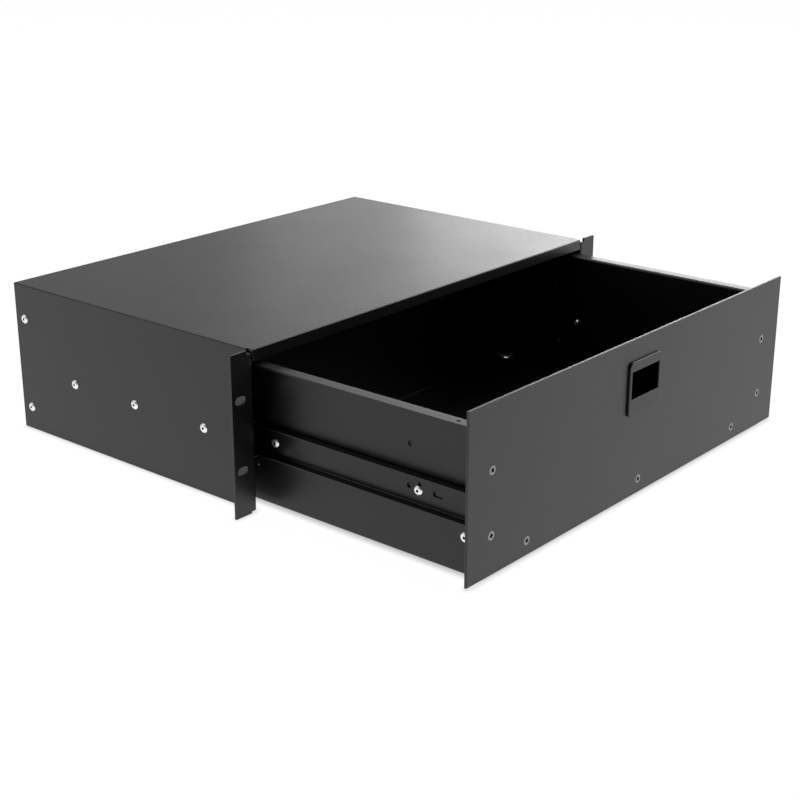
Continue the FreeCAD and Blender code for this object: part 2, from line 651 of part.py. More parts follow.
def latch_bolt():
    half = BOLT_WIDTH / 2
    stem = latch_box(half, BOLT_FRONT, BOLT_BACK, LEDGE_BOTTOM, BOLT_HEAD_BOTTOM)
    shoulders = latch_box(CAVITY_HALF - SHOULDER_CLEARANCE, BOLT_FRONT, BOLT_BACK,
                          SHOULDER_BOTTOM, SHOULDER_TOP)
    ledge = latch_box(LEDGE_HALF, LEDGE_FRONT, BOLT_FRONT, LEDGE_BOTTOM, LEDGE_TOP)
    finger_lip = latch_box(LEDGE_HALF, LEDGE_FRONT, LEDGE_FRONT + LEDGE_LIP_SHEET,
                           LEDGE_TOP, LEDGE_TOP + LEDGE_LIP_HEIGHT)
    head_profile = [(BOLT_TIP_FRONT, BOLT_HEAD_BOTTOM), (BOLT_TIP_FRONT, BOLT_TOP),
                    (BOLT_TIP_FRONT + BOLT_TIP_FLAT, BOLT_TOP),
                    (BOLT_BACK, BOLT_HEAD_BOTTOM + BOLT_TIP_FLAT), (BOLT_BACK, BOLT_HEAD_BOTTOM)]
    head_points = [Vector(-half, behind(depth), up(height)) for depth, height in head_profile]
    head = Part.Face(Part.makePolygon(head_points + head_points[:1])).extrude(Vector(BOLT_WIDTH, 0, 0))
    return [joined([stem, shoulders, ledge, finger_lip, head])]


def latch_springs():
    seat = CAVITY_BOTTOM + SPRING_WIRE_RADIUS + SPRING_CLEARANCE
    height = SHOULDER_BOTTOM - CAVITY_BOTTOM - 2 * (SPRING_WIRE_RADIUS + SPRING_CLEARANCE)
    path = Part.Wire(Part.makeHelix(height / SPRING_TURNS, height, SPRING_RADIUS))
    wire_centre = Vector(SPRING_RADIUS, 0, 0)
    section = Part.Wire(Part.makeCircle(SPRING_WIRE_RADIUS, wire_centre, Vector(0, 1, 0)))
    spring = path.makePipeShell([section], True, True)
    spring.translate(Vector(SPRING_X, behind(BOLT_FRONT + BOLT_SHEET / 2), up(seat)))
    return both_sides(spring)


def nodes():
    case_grip = CASE_SHEET + RAIL_SHEET
    rear_grip = CASE_SHEET + REAR_SHEET
    rail_grip = PAN_SHEET + RAIL_SHEET
    case_side = CASE_WIDTH / 2
    corner_grip = 2 * PAN_SHEET
    rail_side = PAN_OUTSIDE + RAIL_SHEET
    parts = {
        "case_shell": case_shell(),
        "rear_panel": rear_panel(),
        "drawer_pan": drawer_pan(),
        "front_panel": front_panel(),
        "front_panel_screws": panel_screws(),
        "panel_press_nuts": press_nuts(),
        "latch_housing": latch_housing(),
        "latch_back_cover": latch_back_cover(),
        "latch_bolt": latch_bolt(),
        "latch_springs": latch_springs(),
        "case_rail_rivets": side_rivets(CASE_RAIL_RIVETS, case_side, case_grip, FLAT_TAIL_LENGTH),
        "rear_panel_rivets": side_rivets(REAR_PANEL_RIVETS, case_side, rear_grip, RIVET_TAIL_LENGTH),
        "drawer_rail_rivets": side_rivets(DRAWER_RAIL_RIVETS, rail_side, rail_grip, RIVET_TAIL_LENGTH),
        "pan_corner_rivets": side_rivets(PAN_CORNER_RIVETS, PAN_OUTSIDE, corner_grip, RIVET_TAIL_LENGTH),
    }
    slide = {
        "case_rail": [case_rail()],
        "rail_bumper": [rail_bumper()],
        "ball_cage": [ball_cage()],
        "balls": balls(),
        "drawer_rail": [drawer_rail()],
    }
    for name, solids in slide.items():
        parts["right_" + name] = solids
        parts["left_" + name] = [mirrored(solid) for solid in solids]
    return parts


os.makedirs("parts", exist_ok=True)
for name, solids in nodes().items():
    shape = solids[0] if len(solids) == 1 else Part.makeCompound(solids)
    shape.exportStep("parts/" + name + ".step")
    volume = sum(solid.Volume for solid in shape.Solids)
    print(name, len(shape.Solids), "solids", shape.isValid(), round(volume), "mm3")
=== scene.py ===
import json
import math
import bmesh
import bpy
from mathutils import Matrix, Vector


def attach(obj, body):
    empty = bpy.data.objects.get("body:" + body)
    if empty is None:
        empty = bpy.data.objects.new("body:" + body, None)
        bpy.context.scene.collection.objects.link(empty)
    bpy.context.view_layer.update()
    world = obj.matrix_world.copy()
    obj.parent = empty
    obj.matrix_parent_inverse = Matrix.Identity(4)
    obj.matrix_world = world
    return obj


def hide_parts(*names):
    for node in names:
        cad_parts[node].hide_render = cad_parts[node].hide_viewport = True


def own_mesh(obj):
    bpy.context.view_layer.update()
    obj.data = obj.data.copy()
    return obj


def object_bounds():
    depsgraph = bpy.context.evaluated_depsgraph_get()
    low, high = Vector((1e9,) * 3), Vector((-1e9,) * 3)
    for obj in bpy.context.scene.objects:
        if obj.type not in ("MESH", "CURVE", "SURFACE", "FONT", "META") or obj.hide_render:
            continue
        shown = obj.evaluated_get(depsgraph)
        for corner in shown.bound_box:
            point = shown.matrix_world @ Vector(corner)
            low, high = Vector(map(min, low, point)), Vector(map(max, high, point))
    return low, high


# A 3U rack drawer on ball slides, drawn out, on a white floor in soft studio light.
# Lengths are metres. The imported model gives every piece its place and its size.

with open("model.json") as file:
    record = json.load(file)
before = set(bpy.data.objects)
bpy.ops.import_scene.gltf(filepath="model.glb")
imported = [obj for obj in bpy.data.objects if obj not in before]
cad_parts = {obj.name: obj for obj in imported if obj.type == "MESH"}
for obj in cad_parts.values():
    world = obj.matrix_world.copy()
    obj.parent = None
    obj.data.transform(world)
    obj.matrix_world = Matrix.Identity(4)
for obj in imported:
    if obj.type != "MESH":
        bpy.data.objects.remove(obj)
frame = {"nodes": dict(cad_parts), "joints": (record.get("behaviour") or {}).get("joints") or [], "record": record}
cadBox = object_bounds()
cadNodes = frame["nodes"]
bodies = frame["record"]["behaviour"]["bodies"]
bodyOfNode = {node: body for body, members in bodies.items() for node in members}
mm = 0.001
print("frame: loaded", len(cadNodes), "nodes")


# Camera

cameraView = {"place": (-0.9875, -0.7945, 0.4273), "pitch": 20.06, "turn": 49.80, "lens": 69.63}


def addCamera():
    clearSelection()
    bpy.ops.object.camera_add(location=cameraView["place"])
    camera = bpy.context.object
    camera.name = "productCamera"
    camera.rotation_euler = (math.radians(90 - cameraView["pitch"]), 0, math.radians(-cameraView["turn"]))
    camera.data.lens = cameraView["lens"]
    camera.data.sensor_width = 36
    bpy.context.scene.camera = camera


def clearSelection():
    if bpy.context.object and bpy.context.object.mode != "OBJECT":
        bpy.ops.object.mode_set(mode="OBJECT")
    bpy.ops.object.select_all(action="DESELECT")


def focusOn(piece):
    clearSelection()
    piece.select_set(True)
    bpy.context.view_layer.objects.active = piece


addCamera()
print("camera: placed")


# Shader tools

class Wire:  # a node's output, so that values can be written as sums
    def __init__(self, socket):
        self.socket = socket

    def sumWith(self, operation, first, second):
        return addNode(self.socket.id_data, "ShaderNodeMath", {"operation": operation}, {0: first, 1: second})

    def __add__(self, other):
        return self.sumWith("ADD", self, other)

    def __sub__(self, other):
        return self.sumWith("SUBTRACT", self, other)

    def __rsub__(self, other):
        return self.sumWith("SUBTRACT", other, self)

    def __mul__(self, other):
        return self.sumWith("MULTIPLY", self, other)

    __radd__ = __add__
    __rmul__ = __mul__


def addNode(tree, kind, settings=None, sockets=None, output=0):
    node = tree.nodes.new(kind)
    for name, value in (settings or {}).items():
        if name == "stops":
            ramp = node.color_ramp
            while len(ramp.elements) < len(value):
                ramp.elements.new(0.5)
            for element, (position, shade) in zip(ramp.elements, value):
                element.position = position
                element.color = (shade, shade, shade, 1)
        else:
            setattr(node, name, value)
    for key, value in (sockets or {}).items():
        if isinstance(value, Wire):
            tree.links.new(value.socket, node.inputs[key])
        else:
            node.inputs[key].default_value = value
    return Wire(node.outputs[output]) if len(node.outputs) else node


def newFinish(name):
    finish = bpy.data.materials.new(name)
    finish.use_nodes = True
    finish.node_tree.nodes.clear()
    return finish, finish.node_tree


def closeFinish(tree, surface):
    addNode(tree, "ShaderNodeOutputMaterial", {}, {"Surface": surface})


def objectPlace(tree, stretch=(1, 1, 1)):
    place = addNode(tree, "ShaderNodeTexCoord", {}, {}, "Object")
    return addNode(tree, "ShaderNodeMapping", {}, {"Vector": place, "Scale": stretch})


def noise(tree, place, size, detail=2.0, roughness=0.5):
    sockets = {"Vector": place, "Scale": 1 / size, "Detail": detail, "Roughness": roughness}
    return addNode(tree, "ShaderNodeTexNoise", {}, sockets)


def shadeMix(tree, factor, first, second):
    colours = {0: factor, 6: (*first, 1), 7: (*second, 1)}
    return addNode(tree, "ShaderNodeMix", {"data_type": "RGBA"}, colours, 2)


def bump(tree, heightInMm, strength=1.0):
    return addNode(tree, "ShaderNodeBump", {}, {"Height": heightInMm, "Distance": mm, "Strength": strength})


def grey(value):
    return (value, value, value)


def shadeSpan(tree, factor, look):  # a grey that goes a little darker and lighter over the surface
    low = look["shade"] * (1 - look["shadeSpread"])
    high = look["shade"] * (1 + look["shadeSpread"])
    return shadeMix(tree, factor, grey(low), grey(high))


def roughnessSpan(first, second, look):
    spread = look["roughnessSpread"]
    return (first - 0.5) * spread + (second - 0.5) * spread + look["roughness"]


def closeCoat(tree, colour, roughness, normal, look):
    surface = addNode(tree, "ShaderNodeBsdfPrincipled", {}, {
        "Base Color": colour, "Roughness": roughness, "Normal": normal, "IOR": look["gloss"]})
    closeFinish(tree, surface)


# Powder coat: a black polyester coat with a fine sand grain and a slow orange-peel swell

powderLook = {
    "shade": 0.0013, "shadeSpread": 0.3, "roughness": 0.37, "roughnessSpread": 0.06, "gloss": 1.53,
    "grainSize": 0.9 * mm, "grainDepth": 0.012, "swellSize": 6 * mm, "swellDepth": 0.008,
    "toneSize": 60 * mm, "toneShare": 0.7,
}
panLook = {**powderLook, "gloss": 1.47}
panelLook = {**powderLook, "gloss": 1.56}


def powderCoat(name, look):
    finish, tree = newFinish(name)
    place = objectPlace(tree)
    grain = noise(tree, place, look["grainSize"], detail=2.0, roughness=0.6)
    swell = noise(tree, place, look["swellSize"], detail=1.0)
    tone = noise(tree, place, look["toneSize"], detail=3.0)
    colour = shadeSpan(tree, tone * look["toneShare"] + grain * (1 - look["toneShare"]), look)
    normal = bump(tree, grain * look["grainDepth"] + swell * look["swellDepth"])
    closeCoat(tree, colour, roughnessSpan(swell, tone, look), normal, look)
    return finish


# Rail steel: roll-formed strip with a thin black coat, drawing lines run along Y

railLook = {
    "shade": 0.0015, "shadeSpread": 0.3, "roughness": 0.30, "roughnessSpread": 0.10, "gloss": 1.44,
    "lineSize": 0.7 * mm, "lineStretch": 0.02, "lineDepth": 0.004,
    "grainSize": 0.8 * mm, "grainDepth": 0.003, "toneSize": 35 * mm, "toneShare": 0.5,
}


def railSteel(name, look):
    finish, tree = newFinish(name)
    place = objectPlace(tree)
    lines = noise(tree, objectPlace(tree, (1, look["lineStretch"], 1)), look["lineSize"], detail=3.0)
    grain = noise(tree, place, look["grainSize"])
    tone = noise(tree, place, look["toneSize"], detail=2.0)
    colour = shadeSpan(tree, tone * look["toneShare"] + lines * (1 - look["toneShare"]), look)
    normal = bump(tree, lines * look["lineDepth"] + grain * look["grainDepth"])
    closeCoat(tree, colour, roughnessSpan(lines, tone, look), normal, look)
    return finish


# Bare and plated metals

metalLooks = {
    "rivetAluminium": {"shade": (0.98, 0.98, 0.985), "dull": (0.90, 0.90, 0.905), "roughness": 0.34,
                       "roughnessSpread": 0.16, "scratchSize": 0.35 * mm, "scratchDepth": 0.004},
    # painted shade: a near-black metal for the rivet's mandrel hole and the screw's cross recess, where shade
    # falls
    "paintedShadeSteel": {"shade": (0.03, 0.03, 0.032), "dull": (0.012, 0.012, 0.012), "roughness": 0.5,
                     "roughnessSpread": 0.2, "scratchSize": 0.25 * mm, "scratchDepth": 0.02},
    "screwDarkZinc": {"shade": (0.34, 0.34, 0.35), "dull": (0.21, 0.21, 0.215), "roughness": 0.34,
                      "roughnessSpread": 0.18, "scratchSize": 0.4 * mm, "scratchDepth": 0.005},
    "nutZinc": {"shade": (0.62, 0.63, 0.66), "dull": (0.40, 0.41, 0.42), "roughness": 0.34,
                "roughnessSpread": 0.2, "scratchSize": 0.6 * mm, "scratchDepth": 0.005},
    "cageSteel": {"shade": (0.52, 0.53, 0.55), "dull": (0.34, 0.34, 0.35), "roughness": 0.38,
                  "roughnessSpread": 0.2, "scratchSize": 0.5 * mm, "scratchDepth": 0.004},
    "ballSteel": {"shade": (0.78, 0.78, 0.80), "dull": (0.66, 0.66, 0.68), "roughness": 0.10,
                  "roughnessSpread": 0.08, "scratchSize": 0.8 * mm, "scratchDepth": 0.001},
    "springSteel": {"shade": (0.48, 0.48, 0.50), "dull": (0.28, 0.28, 0.29), "roughness": 0.28,
                    "roughnessSpread": 0.16, "scratchSize": 0.3 * mm, "scratchDepth": 0.002},
}
metalFilm = {"sizeOverScratch": 9, "share": 0.6, "scratchRoughness": 0.1}


def bareMetal(name):
    look = metalLooks[name]
    finish, tree = newFinish(name)
    place = objectPlace(tree)
    scratches = noise(tree, place, look["scratchSize"], detail=4.0, roughness=0.65)
    film = noise(tree, place, look["scratchSize"] * metalFilm["sizeOverScratch"], detail=2.0)
    worn = film * metalFilm["share"] + scratches * (1 - metalFilm["share"])
    colour = shadeMix(tree, worn, look["shade"], look["dull"])
    filmRoughness = (film - 0.5) * look["roughnessSpread"] + look["roughness"]
    roughness = (scratches - 0.5) * metalFilm["scratchRoughness"] + filmRoughness
    normal = bump(tree, scratches * look["scratchDepth"])
    surface = addNode(tree, "ShaderNodeBsdfPrincipled", {}, {
        "Base Color": colour, "Metallic": 1.0, "Roughness": roughness, "Normal": normal})
    closeFinish(tree, surface)
    return finish


# Moulded plastic and rubber

mouldedLooks = {
    "latchPlastic": {"shade": 0.004, "shadeSpread": 0.2, "roughness": 0.33, "roughnessSpread": 0.08,
                     "gloss": 1.5, "grainSize": 0.45 * mm, "grainDepth": 0.006, "flowSize": 14 * mm},
    "boltPlastic": {"shade": 0.004, "shadeSpread": 0.2, "roughness": 0.42, "roughnessSpread": 0.08,
                    "gloss": 1.48, "grainSize": 0.45 * mm, "grainDepth": 0.006, "flowSize": 10 * mm},
    "bumperRubber": {"shade": 0.012, "shadeSpread": 0.3, "roughness": 0.78, "roughnessSpread": 0.12,
                     "gloss": 1.45, "grainSize": 0.6 * mm, "grainDepth": 0.03, "flowSize": 6 * mm},
}


def moulded(name):
    look = mouldedLooks[name]
    finish, tree = newFinish(name)
    place = objectPlace(tree)
    grain = noise(tree, place, look["grainSize"], detail=2.0)
    flow = noise(tree, place, look["flowSize"], detail=2.0)
    normal = bump(tree, grain * look["grainDepth"])
    closeCoat(tree, shadeSpan(tree, flow, look), roughnessSpan(flow, grain, look), normal, look)
    return finish


finishes = {name: bareMetal(name) for name in metalLooks}
finishes.update({name: moulded(name) for name in mouldedLooks})
finishes["casePowderCoat"] = powderCoat("casePowderCoat", powderLook)
finishes["panPowderCoat"] = powderCoat("panPowderCoat", panLook)
finishes["panelPowderCoat"] = powderCoat("panelPowderCoat", panelLook)
finishes["railBlackSteel"] = railSteel("railBlackSteel", railLook)
print("finishes:", len(finishes))


# Modelling tools

def applyAll(piece):
    focusOn(piece)
    for modifier in list(piece.modifiers):
        bpy.ops.object.modifier_apply(modifier=modifier.name)


def pickFaces(piece, wanted):
    focusOn(piece)
    bpy.ops.object.mode_set(mode="EDIT")
    bpy.ops.mesh.select_mode(type="FACE")
    bpy.ops.mesh.select_all(action="DESELECT")
    bpy.ops.object.mode_set(mode="OBJECT")
    for face in piece.data.polygons:
        face.select = wanted(face)
    bpy.ops.object.mode_set(mode="EDIT")


def turnedPiece(name, rings, sides):  # rings are (radius, height), from the top's middle round to the bottom
    clearSelection()
    radius, height = rings[0]
    bpy.ops.mesh.primitive_circle_add(vertices=sides, radius=radius, fill_type="NGON")
    piece = bpy.context.object
    piece.name = name
    bpy.ops.object.mode_set(mode="EDIT")
    bpy.ops.mesh.select_all(action="SELECT")
    bpy.ops.transform.translate(value=(0, 0, height))
    for nextRadius, nextHeight in rings[1:]:
        bpy.ops.mesh.extrude_region_move(TRANSFORM_OT_translate={"value": (0, 0, nextHeight - height)})
        share = nextRadius / radius
        bpy.ops.transform.resize(value=(share, share, 1), center_override=(0, 0, nextHeight))
        radius, height = nextRadius, nextHeight
    bpy.ops.mesh.select_all(action="SELECT")
    bpy.ops.mesh.normals_make_consistent(inside=False)
    bpy.ops.object.mode_set(mode="OBJECT")
    return piece


def inMm(points):
    return [(radius * mm, height * mm) for radius, height in points]


def cutWith(piece, cutter):
    cut = piece.modifiers.new("cut", "BOOLEAN")
    cut.operation = "DIFFERENCE"
    cut.solver = "EXACT"
    cut.object = cutter
    applyAll(piece)
    bpy.data.objects.remove(cutter)


def coilUp(piece, rise, turns, steps):
    coil = piece.modifiers.new("coil", "SCREW")
    coil.axis = "Z"
    coil.angle = math.radians(360)
    coil.screw_offset = rise
    coil.iterations = turns
    coil.steps = steps
    coil.render_steps = steps
    coil.use_normal_calculate = True
    applyAll(piece)


def closeEnds(piece, sides):
    focusOn(piece)
    bpy.ops.object.mode_set(mode="EDIT")
    bpy.ops.mesh.select_all(action="SELECT")
    bpy.ops.mesh.fill_holes(sides=sides)
    bpy.ops.mesh.normals_make_consistent(inside=False)
    bpy.ops.object.mode_set(mode="OBJECT")


def smoothBy(piece, degrees):
    focusOn(piece)
    bpy.ops.object.shade_smooth_by_angle(angle=math.radians(degrees))


def finishWith(piece, *names):
    piece.data.materials.clear()
    for name in names:
        piece.data.materials.append(finishes[name])


def boxOf(points):
    low = Vector(min(point[axis] for point in points) for axis in range(3))
    high = Vector(max(point[axis] for point in points) for axis in range(3))
    return low, high


def solidBoxes(node):  # the low and high corner of each separate solid of a node
    graph = bmesh.new()
    graph.from_mesh(cadNodes[node].data)
    bmesh.ops.remove_doubles(graph, verts=graph.verts, dist=0.001 * mm)
    unseen = set(graph.verts)
    boxes = []
    while unseen:
        reached = [unseen.pop()]
        corners = []
        while reached:
            vertex = reached.pop()
            corners.append(vertex.co.copy())
            for edge in vertex.link_edges:
                other = edge.other_vert(vertex)
                if other in unseen:
                    unseen.remove(other)
                    reached.append(other)
        boxes.append(boxOf(corners))
    graph.free()
    return sorted(boxes, key=lambda pair: tuple(round(value, 5) for value in pair[0]))


def copiesJoined(name, model, places):  # places are matrices, and each copy has its own mesh
    copies = []
    for place in places:
        copy = model.copy()
        copy.data = model.data.copy()
        copy.data.transform(place)
        bpy.context.scene.collection.objects.link(copy)
        copies.append(copy)
    bpy.data.objects.remove(model)
    clearSelection()
    for copy in copies:
        copy.select_set(True)
    bpy.context.view_layer.objects.active = copies[0]
    if len(copies) > 1:
        bpy.ops.object.join()
    piece = bpy.context.object
    piece.name = name
    return piece


def standFor(piece, node):
    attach(piece, bodyOfNode[node])
    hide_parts(node)


# Folded sheets and mouldings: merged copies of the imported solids, with their edges rounded off

sheetLooks = {
    "case_shell": {"piece": "caseShellSheet", "edge": 0.28 * mm, "finish": "casePowderCoat"},
    "rear_panel": {"piece": "rearPanelSheet", "edge": 0.2 * mm, "finish": "casePowderCoat"},
    "drawer_pan": {"piece": "drawerPanSheet", "edge": 0.15 * mm, "finish": "panPowderCoat"},
    "front_panel": {"piece": "frontPanelPlate", "edge": 0.12 * mm, "finish": "panelPowderCoat"},
    "left_case_rail": {"piece": "leftCaseRail", "edge": 0.15 * mm, "finish": "railBlackSteel"},
    "right_case_rail": {"piece": "rightCaseRail", "edge": 0.15 * mm, "finish": "railBlackSteel"},
    "left_drawer_rail": {"piece": "leftDrawerRail", "edge": 0.15 * mm, "finish": "railBlackSteel"},
    "right_drawer_rail": {"piece": "rightDrawerRail", "edge": 0.15 * mm, "finish": "railBlackSteel"},
    "left_ball_cage": {"piece": "leftBallCage", "edge": 0.08 * mm, "finish": "cageSteel"},
    "right_ball_cage": {"piece": "rightBallCage", "edge": 0.08 * mm, "finish": "cageSteel"},
    "latch_housing": {"piece": "latchHousing", "edge": 0.32 * mm, "finish": "latchPlastic"},
    "latch_back_cover": {"piece": "latchBackCover", "edge": 0.25 * mm, "finish": "latchPlastic"},
    "latch_bolt": {"piece": "latchBolt", "edge": 0.3 * mm, "finish": "boltPlastic"},
}
softening = {"weld": 0.045 * mm, "flatAngle": 0.3, "edgeAngle": 32, "segments": 2, "shadingWeight": 50}


def softenedCopy(node, look):
    packed = cadNodes[node]
    piece = bpy.data.objects.new(look["piece"], packed.data.copy())
    bpy.context.scene.collection.objects.link(piece)
    focusOn(piece)
    bpy.ops.mesh.customdata_custom_splitnormals_clear()
    bpy.ops.object.mode_set(mode="EDIT")
    bpy.ops.mesh.select_all(action="SELECT")
    bpy.ops.mesh.remove_doubles(threshold=softening["weld"])
    bpy.ops.mesh.dissolve_limited(angle_limit=math.radians(softening["flatAngle"]))
    bpy.ops.mesh.mark_sharp(clear=True)
    bpy.ops.object.mode_set(mode="OBJECT")
    bpy.ops.object.shade_smooth()
    rounding = piece.modifiers.new("rounding", "BEVEL")
    rounding.width = look["edge"]
    rounding.segments = softening["segments"]
    rounding.limit_method = "ANGLE"
    rounding.angle_limit = math.radians(softening["edgeAngle"])
    rounding.use_clamp_overlap = False
    rounding.miter_outer = "MITER_SHARP"
    shading = piece.modifiers.new("shading", "WEIGHTED_NORMAL")
    shading.mode = "FACE_AREA"
    shading.weight = softening["shadingWeight"]
    applyAll(piece)
    low, high = boxOf([vertex.co for vertex in packed.data.vertices])
    for vertex in piece.data.vertices:  # a corner thrown out by a very short edge goes back on the surface
        found, place, facing, face = packed.closest_point_on_mesh(vertex.co)
        if found and (place - vertex.co).length > look["edge"]:
            vertex.co = place
        vertex.co = [min(max(value, least), most) for value, least, most in zip(vertex.co, low, high)]
    finishWith(piece, look["finish"])
    standFor(piece, node)


for sheetNode, sheetLook in sheetLooks.items():
    softenedCopy(sheetNode, sheetLook)
print("sheets:", len(sheetLooks), "pieces")


# Blind rivets: domed head with the snapped mandrel in it, and a swollen tail

rivetShape = {  # profiles are (radius, height) in millimetres, a tail's heights are from its end
    "sides": 40, "smoothAngle": 38, "headHeight": 1.4 * mm,
    "head": [(0.45, 0.56), (0.70, 0.50), (0.74, 0.40), (1.08, 0.40), (1.12, 1.16), (1.22, 1.34), (1.50, 1.40),
             (2.10, 1.35), (2.75, 1.16), (3.32, 0.86), (3.71, 0.54), (3.94, 0.26), (4.0, 0.12), (3.94, 0.02),
             (3.80, 0.0), (2.0, 0.0)],
    "flatTail": [(2.0, 0.9), (2.632, 0.9), (2.8, 0.7), (2.8, 0.25), (2.576, 0.0), (1.2, 0.0), (1.1, 0.3)],
    "swollenTail": [(2.0, 3.4), (2.604, 3.4), (2.8, 2.9), (2.744, 2.1), (2.408, 1.2), (2.072, 0.5),
                    (1.736, 0.1), (1.344, 0.0), (1.008, 0.0), (0.952, 0.2)],
    "shadedHoleReach": 1.11 * mm, "shadedHoleFloor": 0.34 * mm,
}
rivetGroups = {
    "case_rail_rivets": {"piece": "caseRailRivets", "tail": "flatTail"},
    "rear_panel_rivets": {"piece": "rearPanelRivets", "tail": "swollenTail"},
    "drawer_rail_rivets": {"piece": "drawerRailRivets", "tail": "swollenTail"},
    "pan_corner_rivets": {"piece": "panCornerRivets", "tail": "swollenTail"},
}


def makeRivet(length, tail):  # length from the top of the head to the end of the tail
    end = rivetShape["headHeight"] - length
    rings = inMm(rivetShape["head"]) + [(radius, height + end) for radius, height in inMm(rivetShape[tail])]
    rivet = turnedPiece("rivetModel", rings, rivetShape["sides"])
    # the mandrel stub and the wall of its hole get painted shade, the rest of the rivet is aluminium
    finishWith(rivet, "rivetAluminium", "paintedShadeSteel")
    for face in rivet.data.polygons:
        reach = math.hypot(face.center.x, face.center.y)
        inShadedHole = face.center.z > rivetShape["shadedHoleFloor"] and reach < rivetShape["shadedHoleReach"]
        face.material_index = 1 if inShadedHole else 0
    smoothBy(rivet, rivetShape["smoothAngle"])
    return rivet


def addRivets(node, group):
    boxes = solidBoxes(node)
    rivetModel = makeRivet(boxes[0][1].x - boxes[0][0].x, group["tail"])
    places = []
    for low, high in boxes:
        middle = (low + high) / 2
        side = 1 if middle.x > 0 else -1
        outer = high.x if side > 0 else low.x
        seat = (outer - side * rivetShape["headHeight"], middle.y, middle.z)
        spin = Matrix.Rotation(middle.y * 90, 4, "Z")  # no two mandrels stand alike
        places.append(Matrix.Translation(seat) @ Matrix.Rotation(math.radians(side * 90), 4, "Y") @ spin)
    standFor(copiesJoined(group["piece"], rivetModel, places), node)


for rivetNode, rivetGroup in rivetGroups.items():
    addRivets(rivetNode, rivetGroup)
print("rivets:", len(rivetGroups), "groups")


# Countersunk screws with a cross recess, and a rolled thread

screwShape = {  # the profile is (radius, height) in millimetres, from the middle of the head to the tip
    "sides": 40, "smoothAngle": 30,
    "profile": [(1.85, 0), (3.441, 0), (3.5335, -0.06), (3.441, -0.22), (1.94, -1.7), (1.94, -2.2),
                (1.6, -2.5), (1.6, -7.5), (1.12, -8.0)],
    "crossReach": 2.45 * mm, "crossWidth": 1.7 * mm, "crossDepth": 1.9 * mm, "crossFloor": (0.55, 0.75, 1),
    "crossRim": 0.02 * mm, "firstTurn": 12, "nextTurn": 37,
}
threadShape = {
    "crest": 1.94 * mm, "root": 1.55 * mm, "top": -2.4 * mm, "bottom": -7.7 * mm, "pitch": 0.7 * mm,
    "flank": 0.35, "steps": 20,
}


def makeThread():
    shape = threadShape
    pitch = shape["pitch"]
    flank = shape["flank"] * pitch
    clearSelection()
    bpy.ops.mesh.primitive_circle_add(vertices=3, radius=pitch / 2, fill_type="NOTHING")
    thread = bpy.context.object
    points = [(shape["root"], 0, -flank), (shape["crest"], 0, 0), (shape["root"], 0, flank)]
    for vertex, point in zip(thread.data.vertices, points):
        vertex.co = Vector(point) + Vector((0, 0, shape["bottom"] + flank))
    turns = max(1, int((shape["top"] - shape["bottom"]) / pitch - 2 * shape["flank"]))
    coilUp(thread, pitch, turns, shape["steps"])
    closeEnds(thread, 3)
    return thread


def crossCutter(turn):
    shape = screwShape
    clearSelection()
    bpy.ops.mesh.primitive_cube_add(size=1)
    cutter = bpy.context.object
    size = (2 * shape["crossReach"], shape["crossWidth"], 2 * shape["crossDepth"], 1)
    cutter.data.transform(Matrix.Diagonal(size))
    pickFaces(cutter, lambda face: face.normal.z < -0.9)
    bpy.ops.transform.resize(value=shape["crossFloor"], center_override=(0, 0, -shape["crossDepth"]))
    bpy.ops.object.mode_set(mode="OBJECT")
    cutter.data.transform(Matrix.Rotation(math.radians(turn), 4, "Z"))
    return cutter


def makeScrew():
    shape = screwShape
    screw = turnedPiece("screwModel", inMm(shape["profile"]), shape["sides"])
    for cutter in [crossCutter(0), crossCutter(90)]:
        cutWith(screw, cutter)
    finishWith(screw, "screwDarkZinc", "paintedShadeSteel")
    for face in screw.data.polygons:  # the cross recess gets painted shade, the head and the shank are plated
        reach = math.hypot(face.center.x, face.center.y)
        inShadedCross = face.center.z < -shape["crossRim"] and reach < shape["crossReach"] and face.normal.z > -0.3
        face.material_index = 1 if inShadedCross and face.center.z > -shape["crossDepth"] * 1.02 else 0
    smoothBy(screw, shape["smoothAngle"])
    thread = makeThread()
    focusOn(screw)
    thread.select_set(True)
    bpy.ops.object.join()
    return screw


def addScrews():
    screwModel = makeScrew()
    places = []
    for index, (low, high) in enumerate(solidBoxes("front_panel_screws")):
        middle = (low + high) / 2
        spin = Matrix.Rotation(math.radians(screwShape["nextTurn"] * index + screwShape["firstTurn"]), 4, "Z")
        seat = Matrix.Translation((middle.x, low.y, middle.z)) @ Matrix.Rotation(math.radians(90), 4, "X")
        places.append(seat @ spin)
    standFor(copiesJoined("frontPanelScrews", screwModel, places), "front_panel_screws")


addScrews()
print("screws: added")


# Press nuts behind the pan's flanges

nutShape = {  # profiles are (radius, height) in millimetres, from the open end to the panel
    "sides": 36, "smoothAngle": 30,
    "body": [(2.323, 2.2), (3.225, 2.2), (3.375, 2.08), (3.375, 0.85), (3.6375, 0.77), (3.75, 0.65),
             (3.75, 0.1), (3.675, 0), (2.323, 0)],
    "bore": [(2.626, 2.3), (2.3836, 2.2), (2.02, 1.9), (2.02, 0.3), (2.3836, 0), (2.626, -0.1)],
}


def addPressNuts():
    nut = turnedPiece("nutModel", inMm(nutShape["body"]), nutShape["sides"])
    cutWith(nut, turnedPiece("boreCutter", inMm(nutShape["bore"]), nutShape["sides"]))
    smoothBy(nut, nutShape["smoothAngle"])
    finishWith(nut, "nutZinc")
    places = []
    for low, high in solidBoxes("panel_press_nuts"):
        middle = (low + high) / 2
        seat = Matrix.Translation((middle.x, low.y, middle.z))
        places.append(seat @ Matrix.Rotation(math.radians(-90), 4, "X"))
    standFor(copiesJoined("panelPressNuts", nut, places), "panel_press_nuts")


addPressNuts()
print("press nuts: added")


# Latch springs: coiled wire with closed ends

springShape = {"wireRadius": 0.3 * mm, "turns": 9, "steps": 28, "wireSides": 10, "endsClosed": 0.075}


